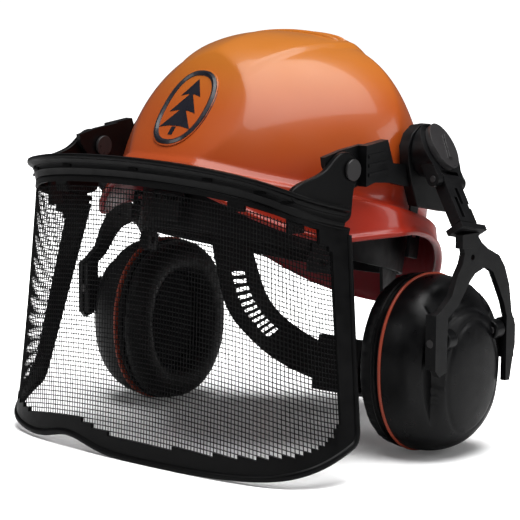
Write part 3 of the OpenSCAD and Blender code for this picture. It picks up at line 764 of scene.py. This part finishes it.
def peak_slots():
    """Seven dark recesses in the band."""
    parts = []
    for t in (-58.0, -42.0, -22.0, 0.0, 22.0, 42.0, 58.0):
        normal = peak_normal(t)
        tangent = np.array([-normal[1], normal[0], 0])
        centre = peak_curve(t) - normal * 3.55 + np.array([0, 0, -6.3])
        verts, faces = box([-1.2, -3.6, -0.75], [0.35, 3.6, 0.75])
        parts.append((centre + verts @ np.stack([normal, tangent, UP]), faces))
    verts, faces = join(parts)
    piece("visor_peak_slots", verts, faces, "visor", "peak_moulding", RECESS)


def visor_ears():
    """Flat side plates."""
    # y, z
    outline = np.array([
        [-126, 169], [-118, 173.4], [-105, 175.6], [-97, 178], [-91.6, 181.2], [-86.5, 185.4],
        [-82, 187.9], [-77, 188.7], [-71.5, 187.2], [-67, 183.3], [-65.2, 178.5],
        [-65.5, 174.3], [-67.5, 170], [-69.6, 166.6], [-70.8, 158.7], [-72, 147.5],
        [-84, 146.5], [-96, 150], [-108, 156], [-118, 161], [-124, 163.5]])
    for _ in range(2):    # cut the corners
        after = np.roll(outline, -1, 0)
        cuts = [0.75 * outline + 0.25 * after, 0.25 * outline + 0.75 * after]
        outline = np.stack(cuts, 1).reshape(-1, 2)
    n = len(outline)
    verts = np.concatenate([np.column_stack([np.full(n, x), outline]) for x in (104.2, 108.2)])
    faces = [cap(0, n), cap(1, n)[::-1]]
    faces += [[j, n + j, n + (j + 1) % n, (j + 1) % n] for j in range(n)]
    piece_pair("visor_ear", verts, faces, "visor", "peak_moulding", SATIN, bevel=1.1, seg=3)


# mesh grid, at real wire spacings
COLUMN_PITCH, ROW_PITCH = 2.35, 2.84
WIRE_RADIUS = 0.31
BORDER = 12.5
_fine = np.linspace(-90, 90, 1801)
_run = run_length(visor_face(_fine, 0.5))
VISOR_WIDTH = _run[-1]
COLUMN_AT = np.linspace(0, VISOR_WIDTH, int(round(VISOR_WIDTH / COLUMN_PITCH)) + 1)
COLUMN_T = np.interp(COLUMN_AT, _run, _fine)
COLUMN_HEIGHT = np.linalg.norm(visor_face(COLUMN_T, 1.0) - visor_face(COLUMN_T, 0.0), axis=1)
ROW_DROP = np.arange(0, int(COLUMN_HEIGHT.max() / ROW_PITCH) + 2) * ROW_PITCH


def visor_border():
    """Solid frame round the mesh, built from the grid cells it covers."""
    across = (COLUMN_AT[:-1] + COLUMN_AT[1:]) / 2
    side = np.minimum(across, VISOR_WIDTH - across)[None]
    height = ((COLUMN_HEIGHT[:-1] + COLUMN_HEIGHT[1:]) / 2)[None]
    drop = ((ROW_DROP[:-1] + ROW_DROP[1:]) / 2)[:, None]
    above = height - drop
    inside = ROW_DROP[:-1, None] < height - 0.2
    solid = (drop < 2) | (above < BORDER) | (side < BORDER + 1)
    low_corner = ((side < 26) & (above < 26)
                  & (np.hypot(26 - side, 26 - above) > 26 - BORDER))
    top_corner = (side < 24) & (drop < 24) & (np.hypot(24 - side, 24 - drop) > 24 - 10)
    filled = np.pad(inside & (solid | low_corner | top_corner), 1)

    columns = len(COLUMN_T)
    s = np.clip(ROW_DROP[:, None] / COLUMN_HEIGHT[None], 0, 1)
    back = s.size
    verts = np.concatenate([visor_point(COLUMN_T, s, o).reshape(-1, 3) for o in (0.5, 2.7)])
    faces = []
    for i, j in np.argwhere(filled).tolist():
        a = (i - 1) * columns + j - 1
        b, c, d = a + 1, a + columns + 1, a + columns
        faces += [[a, d, c, b], [back + a, back + b, back + c, back + d]]
        # edge walls where the neighbouring cell is open
        for row, column, p, q in ((i - 1, j, a, b), (i + 1, j, c, d),
                                  (i, j - 1, d, a), (i, j + 1, b, c)):
            if not filled[row, column]:
                faces.append([p, q, back + q, back + p])
    piece("visor_border", verts, faces, "visor", "peak_moulding", SATIN, rep="visor_frame",
          angle=40, recalc=False)


def visor_rim():
    """Bead round the sides and lower edge, and a thinner one under the peak."""
    s = np.linspace(0.02, 0.97, 60)
    path = np.concatenate([visor_point(-90.0, s, 1.6),
                           visor_point(np.linspace(-89, 89, 240), 0.994, 1.6),
                           visor_point(90.0, s[::-1], 1.6)])
    for _ in range(3):
        path[1:-1] = (path[:-2] + 2 * path[1:-1] + path[2:]) / 4
    top = peak_curve(np.linspace(-89.5, 89.5, 240), inset=5.6, lift=-13.3)
    verts, faces = join([tube(path, 2.4, 12), tube(top, 1.5)])
    piece("visor_rim", verts, faces, "visor", "peak_moulding", SATIN, angle=60)


def wires(t, s, offset):
    """Square-section wires at once; t and s are arrays of wires by points."""
    path = visor_point(t, s, offset)
    normal = visor_normal(t, s)
    side = np.cross(unit(np.gradient(path, axis=1)), normal)
    corners = [path + d * WIRE_RADIUS for d in (normal, side)]
    corners += [path - d * WIRE_RADIUS for d in (normal, side)]
    count, points = t.shape
    w, i, k = np.meshgrid(np.arange(count), np.arange(points - 1), np.arange(4), indexing="ij")
    base = (w * points + i) * 4
    after = (k + 1) % 4
    quads = np.stack([base + k, base + after, base + 4 + after, base + 4 + k], -1)
    return np.stack(corners, 2).reshape(-1, 3), quads.reshape(-1, 4).tolist()


def visor_wires():
    uprights = wires(*np.broadcast_arrays(COLUMN_T[3:-3, None],
                                          0.03 + 0.955 * np.linspace(0, 1, 34)), 1.4)
    t = np.linspace(COLUMN_T[3], COLUMN_T[-4], 150)
    height = np.interp(t, COLUMN_T, COLUMN_HEIGHT)
    s = np.array([np.minimum(drop / height, 0.985) for drop in ROW_DROP[2:]
                  if (COLUMN_HEIGHT > drop + 3).sum() >= 8])
    level = wires(np.tile(t, (len(s), 1)), s, 1.9)
    verts, faces = join([uprights, level])
    piece("visor_wires", verts, faces, "visor", "mesh", WIRE, rep="visor_mesh", angle=179,
          recalc=False)


# ------------------------------------------------------------------ fittings from CAD
def side_fittings():
    # node, material, body, slot, bevel, bevel segments
    fittings = [
        ("slot_carrier_", BLACK, SHELL_BODY, "black_moulding", 1.6, 3),
        ("visor_bracket_", BLACK, SHELL_BODY, "black_moulding", 0.6, 2),
        ("visor_pivot_pin_", KNOB, SHELL_BODY, "hardware", 0.6, 2),
        ("hub_", BLACK, "hub_{}_body", "black_moulding", 0.9, 3),
        ("hub_cover_", KNOB, "hub_{}_body", "black_moulding", 1.1, 3),
        ("arm_pin_", KNOB, "hub_{}_body", "hardware", 0.3, 2),
        ("hub_pin_", STEEL, SHELL_BODY, "hardware", 0.3, 2),
        ("arm_", BLACK, "arm_{}_body", "black_moulding", 0.6, 2),
        ("yoke_", BLACK, "yoke_{}_body", "black_moulding", 0.9, 3),
        ("cup_pins_", KNOB, "yoke_{}_body", "hardware", 0.3, 2),
        ("seal_plate_", CRADLE, CUP_BODY, "cradle", 0.4, 2)]
    for side in ("left", "right"):
        for cad_node, mat, body, slot, bevel, seg in fittings:
            cad_piece(cad_node + side, mat, body.format(side), slot, bevel, seg)


# ------------------------------------------------------------------ ear cups (left, world frame)
CUP_X, CUP_Y, CUP_Z = 113.6, -4.0, 55.0    # centre of the open rim
CUP_HEIGHT, CUP_DEPTH = 54.0, 46.0         # half sizes along z and y
CUP_BULGE = 38.0                           # outward along x
CUP_POWER = 2 / 2.2
EDGE_POWER = 0.91                          # outline of the trim and the cushion
BOSS_X, BOSS_Z, BOSS_RADIUS = 147.0 - 1.6, 76.0, 6.2


def oval(x, depth, height, power, count=192):
    """Ring of points round the cup's axis."""
    angles = turn(count)
    y = CUP_Y + depth * signed_power(np.cos(angles), power)
    z = CUP_Z + height * signed_power(np.sin(angles), power)
    return np.stack([np.broadcast_to(x, y.shape), y, z], -1)


def cup_shell():
    rings = []
    for a in np.concatenate([np.linspace(0.0, 0.25, 12), np.linspace(0.27, np.pi / 2, 46)]):
        out = math.sin(a) ** (2 / 2.6)
        size = max(max(math.cos(a), 0.0) ** (2 / 2.6), 0.004)
        rings.append(oval(CUP_X + CUP_BULGE * out, CUP_DEPTH * size, CUP_HEIGHT * size,
                          CUP_POWER))
    outer = np.array(rings)
    x, y, z = outer[..., 0], outer[..., 1], outer[..., 2]
    # a raised middle, with the front and rear cut flat
    middle = smooth_step(-33.4, -31.4, y) * (1 - smooth_step(22.0, 23.8, y))
    x = blend(np.minimum(x, 139.2), x, middle)
    # stepped in above an arched line
    arch = 91.0 - 0.014 * (y + 6) ** 2
    above = smooth_step(-1.3, 1.3, z - arch)
    x = x - 3.2 * above * middle * smooth_step(CUP_X + 14, CUP_X + 26, x)
    # shallow oval groove on the raised face
    radius = np.hypot((y + 5) / 24, (z - 50) / 34)
    x = x - 0.6 * np.exp(-((radius - 1.02) / 0.035) ** 2) * middle
    outer[..., 0] = x
    # x, inset of the inner rings and the rim
    back = [oval(bx, CUP_DEPTH - inset, CUP_HEIGHT - inset, CUP_POWER)
            for bx, inset in ((CUP_X + 12, 6), (CUP_X - 0.05, 4), (CUP_X - 0.05, 0))]
    rows = len(back) + len(outer)
    verts = np.concatenate(back + list(outer))
    faces = grid_faces(rows, 192) + [cap(rows - 1, 192)]
    piece_pair("cup_shell", verts, faces, CUP_BODY, "cup_moulding", CUP_BLACK, rep="cup_{}",
               angle=50)


def cup_bosses():
    a = turn(40)
    for name, start, end in (("front", -28.8, -20), ("rear", 19, 27.8)):
        verts = np.concatenate([
            np.stack([BOSS_X + BOSS_RADIUS * np.cos(a), np.full(40, CUP_Y + dy),
                      BOSS_Z + BOSS_RADIUS * np.sin(a)], -1) for dy in (start, end)])
        piece_pair("cup_boss_" + name, verts, capped_faces(2, 40), CUP_BODY, "cup_moulding",
                   CUP_BLACK, bevel=1.2, seg=3)


def trim_ring():
    lines = []
    for a in turn(12):
        out = 2.6 * signed_power(np.cos(a), 0.7) - 1.6
        x = CUP_X - 1.15 + 1.15 * signed_power(np.sin(a), 0.7)
        lines.append(oval(x, CUP_DEPTH + out, CUP_HEIGHT + out, EDGE_POWER))
    piece_pair("trim_ring", lengthwise(lines), looped_faces(192, 12), CUP_BODY, "trim", CORAL,
               rep="cup_trim_{}", angle=60)


def cushion():
    """Crowned foam ring in a thin puckered skin."""
    around, section = 240, 40
    angles = turn(around)
    phase = np.random.default_rng(7).uniform(0, 6.28, 8)

    def ripple(waves, phases):
        return sum(np.sin(k * angles + p) for k, p in zip(waves, phases))

    pucker = 0.32 * ripple((7, 12, 19, 31), phase[:4]) / 2.2
    fine_pucker = 0.22 * ripple((37, 53, 71), phase[4:]) / 1.8
    lines = []
    for a in turn(section):
        c, s = math.cos(a), math.sin(a)
        radial = (11.2 if c > 0 else 9.4) * signed_power(c, 0.86)
        x = 6.8 * signed_power(s, 0.8) if s > 0 else -9.2 * abs(s) ** 0.92
        if s < 0:    # the head side is drawn in towards the hole
            x += 0.9 * math.exp(-((c + 0.95) / 0.25) ** 2)
        edge = math.exp(-((abs(c) - 1) / 0.22) ** 2)
        swell = pucker * (0.5 + 0.5 * abs(s)) + fine_pucker * edge
        radial = radial + swell * (1 if c > 0 else -1)
        lines.append(oval(CUP_X - 11.5 + x + 0.5 * pucker * abs(s), CUP_DEPTH - 11.8 + radial,
                          CUP_HEIGHT - 11.8 + radial, EDGE_POWER, around))
    piece_pair("cushion", lengthwise(lines), looped_faces(around, section), CUP_BODY,
               "cushion_skin", SKIN, rep="ear_cushion_{}", angle=70)


def cushion_seam():
    path = oval(CUP_X - 7.2, CUP_DEPTH - 0.4, CUP_HEIGHT - 0.4, EDGE_POWER)
    verts, faces = tube(path, 0.7, 6, closed=True, ref=(1, 0, 0))
    piece_pair("cushion_seam", verts, faces, CUP_BODY, "cushion_skin", SKIN)


def liner_foam():
    """Dimpled foam inside the cup."""
    rings = [oval(CUP_X + 16.0, 25, 33, 1)]
    for size in np.linspace(1, 0.02, 26):
        ring = oval(0.0, 27 * size, 36 * size, 1)
        dimples = np.sin(ring[:, 1] * 0.75) * np.sin(ring[:, 2] * 0.75)
        ring[:, 0] = CUP_X - 2.5 + 8 * (1 - size ** 2) + 0.7 * dimples * (1 - size ** 6)
        rings.append(ring)
    rows = len(rings)
    faces = grid_faces(rows, 192) + [cap(rows - 1, 192), cap(0, 192)]
    piece_pair("liner_foam", np.concatenate(rings), faces, CUP_BODY, "foam", FOAM,
               rep="cup_foam_{}", angle=70)


# ------------------------------------------------------------------ cradle (shell frame)
BAND_X, BAND_Y = 76.0, 92.0                # half sizes of the headband
BAND_CENTRE_Y = -26.0


def cradle_parts():
    # node, bevel, bevel segments, angle
    for cad_node, bevel, seg, angle in (
            ("headband", 0.5, 2, 28), ("cradle_anchors", 0.5, 2, 32),
            ("nape_strap", 0.35, 2, 30), ("chin_lug_left", 0.8, 2, 32),
            ("chin_lug_right", 0.8, 2, 32), ("nape_buckle", 0.9, 3, 32)):
        cad_piece(cad_node, CRADLE, SHELL_BODY, "cradle", bevel, seg, angle)


def sweatband():
    """Padded strip inside the front of the headband, quilted on its inner face."""
    rows, section = 161, 32
    t = np.radians(np.linspace(203, 337, rows))
    taper = np.sqrt(np.clip(1 - np.abs(np.linspace(-1, 1, rows)) ** 24, 0.03, 1))
    middle = -14 - 4 * np.sin(t) + 13.8
    lines = []
    for a in turn(section):
        c, s = math.cos(a), math.sin(a)
        height = 11.2 * signed_power(c, 0.7)
        depth = 2.3 * signed_power(s, 0.8)
        quilt = 0.45 * np.cos(t * 46) * (1 if s > 0 else 0) * abs(c) ** 0.3
        out = -2.6 - depth * (0.75 if s < 0 else 1.15) + quilt
        lines.append(np.stack([(BAND_X - 0.2 + out) * np.cos(t),
                               BAND_CENTRE_Y + (BAND_Y - 0.2 + out) * np.sin(t),
                               middle + height * taper], -1))
    piece("sweatband_pad", shell_to_world(lengthwise(lines)), capped_faces(rows, section),
          SHELL_BODY, "sweat_fabric", SWEAT, rep="sweatband", angle=70)


def webbing():
    """Three ribbed straps arched over the head."""
    # across the strap, out from its inner face
    profile = [(-9.5, 0.25), (-9.2, 0.0), (-7.6, 0.12), (-6.5, -0.05), (0, -0.05),
               (6.5, -0.05), (7.6, 0.12), (9.2, 0.0), (9.5, 0.25),
               (9.5, 0.95), (9.2, 1.2), (7.6, 1.05), (6.5, 1.25), (0, 1.25),
               (-6.5, 1.25), (-7.6, 1.05), (-9.2, 1.2), (-9.5, 0.95)]
    foot_z = 8
    v = np.linspace(0, math.pi, 121)
    ribbing = (0.05 * np.sin(v * 190))[:, None] * UP
    # name, heading in degrees, height
    for name, heading, height in (("a", 90, 95), ("b", 32, 97), ("c", 148, 99)):
        c, s = math.cos(math.radians(heading)), math.sin(math.radians(heading))
        reach = 1 / math.sqrt(c * c / (BAND_X + 4.6) ** 2 + s * s / (BAND_Y + 4.6) ** 2)
        lines = []
        for across, out in profile:
            run = (reach + out) * np.cos(v)
            rise = foot_z + (height - foot_z + out) * np.sin(v)
            shift = across * np.array([-s, c, 0]) + np.array([0, BAND_CENTRE_Y, 0])
            lines.append(np.stack([run * c, run * s, rise], -1) + shift + ribbing)
        piece("webbing_" + name, shell_to_world(lengthwise(lines)),
              capped_faces(len(v), len(profile)), SHELL_BODY, "webbing", WEBBING,
              rep="crown_strap_" + name, angle=50)


def crown_pad():
    """Soft disc with a quilted cross on both faces."""
    radius, middle_z = 30, 86.4
    rows, n = 30, 96
    r, angle = np.meshgrid(np.linspace(0.02, 1, rows), turn(n), indexing="ij")
    x, y = radius * r * np.cos(angle), radius * r * np.sin(angle)
    swell = np.sqrt(np.clip(1 - r ** 6, 0, 1))
    seam = 1 - 0.55 * np.exp(-(x / 1.6) ** 2) - 0.55 * np.exp(-(y / 1.6) ** 2)
    top = middle_z + (3.1 * swell) * np.clip(seam, 0.25, 1)
    bottom = middle_z - (2.9 * swell) * np.clip(seam, 0.3, 1)
    verts = np.concatenate([np.stack([x, y + BAND_CENTRE_Y, z], -1).reshape(-1, 3)
                            for z in (top, bottom)])
    under = rows * n
    faces = grid_faces(rows, n)
    faces += [[under + i for i in face[::-1]] for face in grid_faces(rows, n)]
    rim = cap(rows - 1, n)
    faces += [[a, under + a, under + b, b] for a, b in zip(rim, rim[1:] + rim[:1])]
    faces += [cap(0, n), cap(rows, n)[::-1]]
    piece("crown_cushion", shell_to_world(verts), faces, SHELL_BODY, "foam", SWEAT,
          rep="crown_pad", angle=60)


# ------------------------------------------------------------------ stage (metres)
FLOOR_WHITE = (0.93, 0.93, 0.93, 1)
FLOOR_BOUNCE = (0.30, 0.30, 0.30, 1)       # floor colour in indirect light
FLOOR_HALF, FLOOR_Z = 60.0, -0.0004


def floor_material():
    """White floor that glows more with distance, and much less in indirect light."""
    mat, tree, bsdf = new_material("studio_floor")
    link = tree.links.new
    bsdf.inputs["Base Color"].default_value = FLOOR_WHITE
    bsdf.inputs["Roughness"].default_value = 0.9
    bsdf.inputs["Specular IOR Level"].default_value = 0.1
    bsdf.inputs["Emission Color"].default_value = (1, 1, 1, 1)
    distance = node(tree, "VectorMath", operation="LENGTH")
    link(node(tree, "TexCoord").outputs["Object"], distance.inputs[0])
    glow = map_range(tree, distance.outputs["Value"], 0.12, 0.55, 0.06, 1.0,
                     interpolation_type="SMOOTHSTEP")
    seen = node(tree, "LightPath").outputs["Is Camera Ray"]
    share = map_range(tree, seen, to_min=0.10)
    link(math_node(tree, "MULTIPLY", glow, share), bsdf.inputs["Emission Strength"])
    colour = node(tree, "Mix", data_type="RGBA")
    link(seen, colour.inputs[MIX_FACTOR])
    colour.inputs[MIX_A].default_value = FLOOR_BOUNCE
    colour.inputs[MIX_B].default_value = FLOOR_WHITE
    link(colour.outputs[MIX_RESULT], bsdf.inputs["Base Color"])
    return mat


def add_staged(name, data):
    ob = bpy.data.objects.new(name, data)
    bpy.context.scene.collection.objects.link(ob)
    return ob


def studio_floor():
    mesh = bpy.data.meshes.new("studio_floor_plane")
    corners = [(x * FLOOR_HALF, y * FLOOR_HALF, FLOOR_Z)
               for x, y in ((-1, -1), (1, -1), (1, 1), (-1, 1))]
    mesh.from_pydata(corners, [], [(0, 1, 2, 3)])
    mesh.materials.append(floor_material())
    ob = add_staged("studio_floor_plane", mesh)
    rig.stage(ob)
    return ob


def studio_world():
    """White to the camera, dim grey as a light."""
    world = bpy.data.worlds.new("studio")
    bpy.context.scene.world = world
    world.use_nodes = True
    tree = world.node_tree
    tree.nodes.clear()
    output = node(tree, "OutputWorld")
    path = node(tree, "LightPath")
    ambient = node(tree, "Background", Color=(0.085, 0.085, 0.088, 1), Strength=1.0)
    backdrop = node(tree, "Background", Color=(1, 1, 1, 1), Strength=1.05)
    switch = node(tree, "MixShader")
    tree.links.new(path.outputs["Is Camera Ray"], switch.inputs[0])
    tree.links.new(ambient.outputs[0], switch.inputs[1])
    tree.links.new(backdrop.outputs[0], switch.inputs[2])
    tree.links.new(switch.outputs[0], output.inputs[0])


def area_light(name, at, aim, size, energy, size_y=None):
    light = bpy.data.lights.new(name, "AREA")
    light.energy = energy
    light.size = size
    if size_y:
        light.shape = "RECTANGLE"
        light.size_y = size_y
    ob = add_staged(name, light)
    ob.location = at
    ob.rotation_euler = (Vector(aim) - Vector(at)).to_track_quat("-Z", "Y").to_euler()
    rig.stage(ob)
    return ob


def studio_lights(floor):
    area_light("overhead_box", at=(0.25, -0.05, 1.25), aim=(0, 0, 0.15), size=1.1, size_y=1.1,
               energy=15.5)
    area_light("front_left_box", at=(-0.5, -1.5, 0.95), aim=(0, 0, 0.12), size=0.8, size_y=0.6,
               energy=3.6)
    area_light("rear_right_box", at=(1.4, 0.7, 0.9), aim=(0, 0, 0.12), size=0.7, energy=4.5)
    area_light("right_fill", at=(1.6, -0.7, 0.5), aim=(0, 0, 0.10), size=0.5, energy=0.9)
    floor_box = area_light("floor_box", at=(0.1, -0.1, 1.7), aim=(0, 0, 0), size=1.3,
                           size_y=1.3, energy=55)
    # this one lights only the floor
    receivers = bpy.data.collections.new("floor_receivers")
    receivers.objects.link(floor)
    floor_box.light_linking.receiver_collection = receivers


def studio_camera():
    position = np.array([911.76, -1048.49, 315.26]) * MM
    azimuth, elevation, roll = (math.radians(a) for a in (41.87, 8.59, 0.25))
    back = Vector((math.sin(azimuth) * math.cos(elevation),
                   -math.cos(azimuth) * math.cos(elevation), math.sin(elevation)))
    level = Vector((math.cos(azimuth), math.sin(azimuth), 0))
    upright = back.cross(level)
    right = math.cos(roll) * level + math.sin(roll) * upright
    up = -math.sin(roll) * level + math.cos(roll) * upright
    camera = bpy.data.cameras.new("photo_camera")
    camera.sensor_width = 36
    camera.lens = 151.04769
    camera.clip_start, camera.clip_end = 0.05, 50
    ob = add_staged("photo_camera", camera)
    rows = [(right[i], up[i], back[i], position[i]) for i in range(3)]
    ob.matrix_world = Matrix((*rows, (0, 0, 0, 1)))
    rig.stage(ob)
    scene = bpy.context.scene
    scene.camera = ob
    scene.view_settings.view_transform = "Standard"
    scene.view_settings.look = "None"


# ------------------------------------------------------------------ build, in order
shell_moulding()
shell_ribs()
brow_badge()
badge_tree()
visor_peak()
peak_slots()
visor_ears()
visor_border()
visor_rim()
visor_wires()
cad_piece("visor_clips", BLACK, "visor", "black_moulding", bevel=0.5)
side_fittings()
cup_shell()
cup_bosses()
trim_ring()
cushion()
cushion_seam()
liner_foam()
cradle_parts()
sweatband()
webbing()
crown_pad()
floor_plane = studio_floor()
studio_world()
studio_lights(floor_plane)
studio_camera()

END_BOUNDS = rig.bounds()


def plain(bounds):
    return [[float(x) for x in corner] for corner in bounds]


# bounds that aren't nested lists of numbers are written as text
try:
    json.dump({"frame": plain(START_BOUNDS), "visual": plain(END_BOUNDS)},
              open("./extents.json", "w"))
except TypeError:
    json.dump({"frame": str(START_BOUNDS), "visual": str(END_BOUNDS)},
              open("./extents.json", "w"))
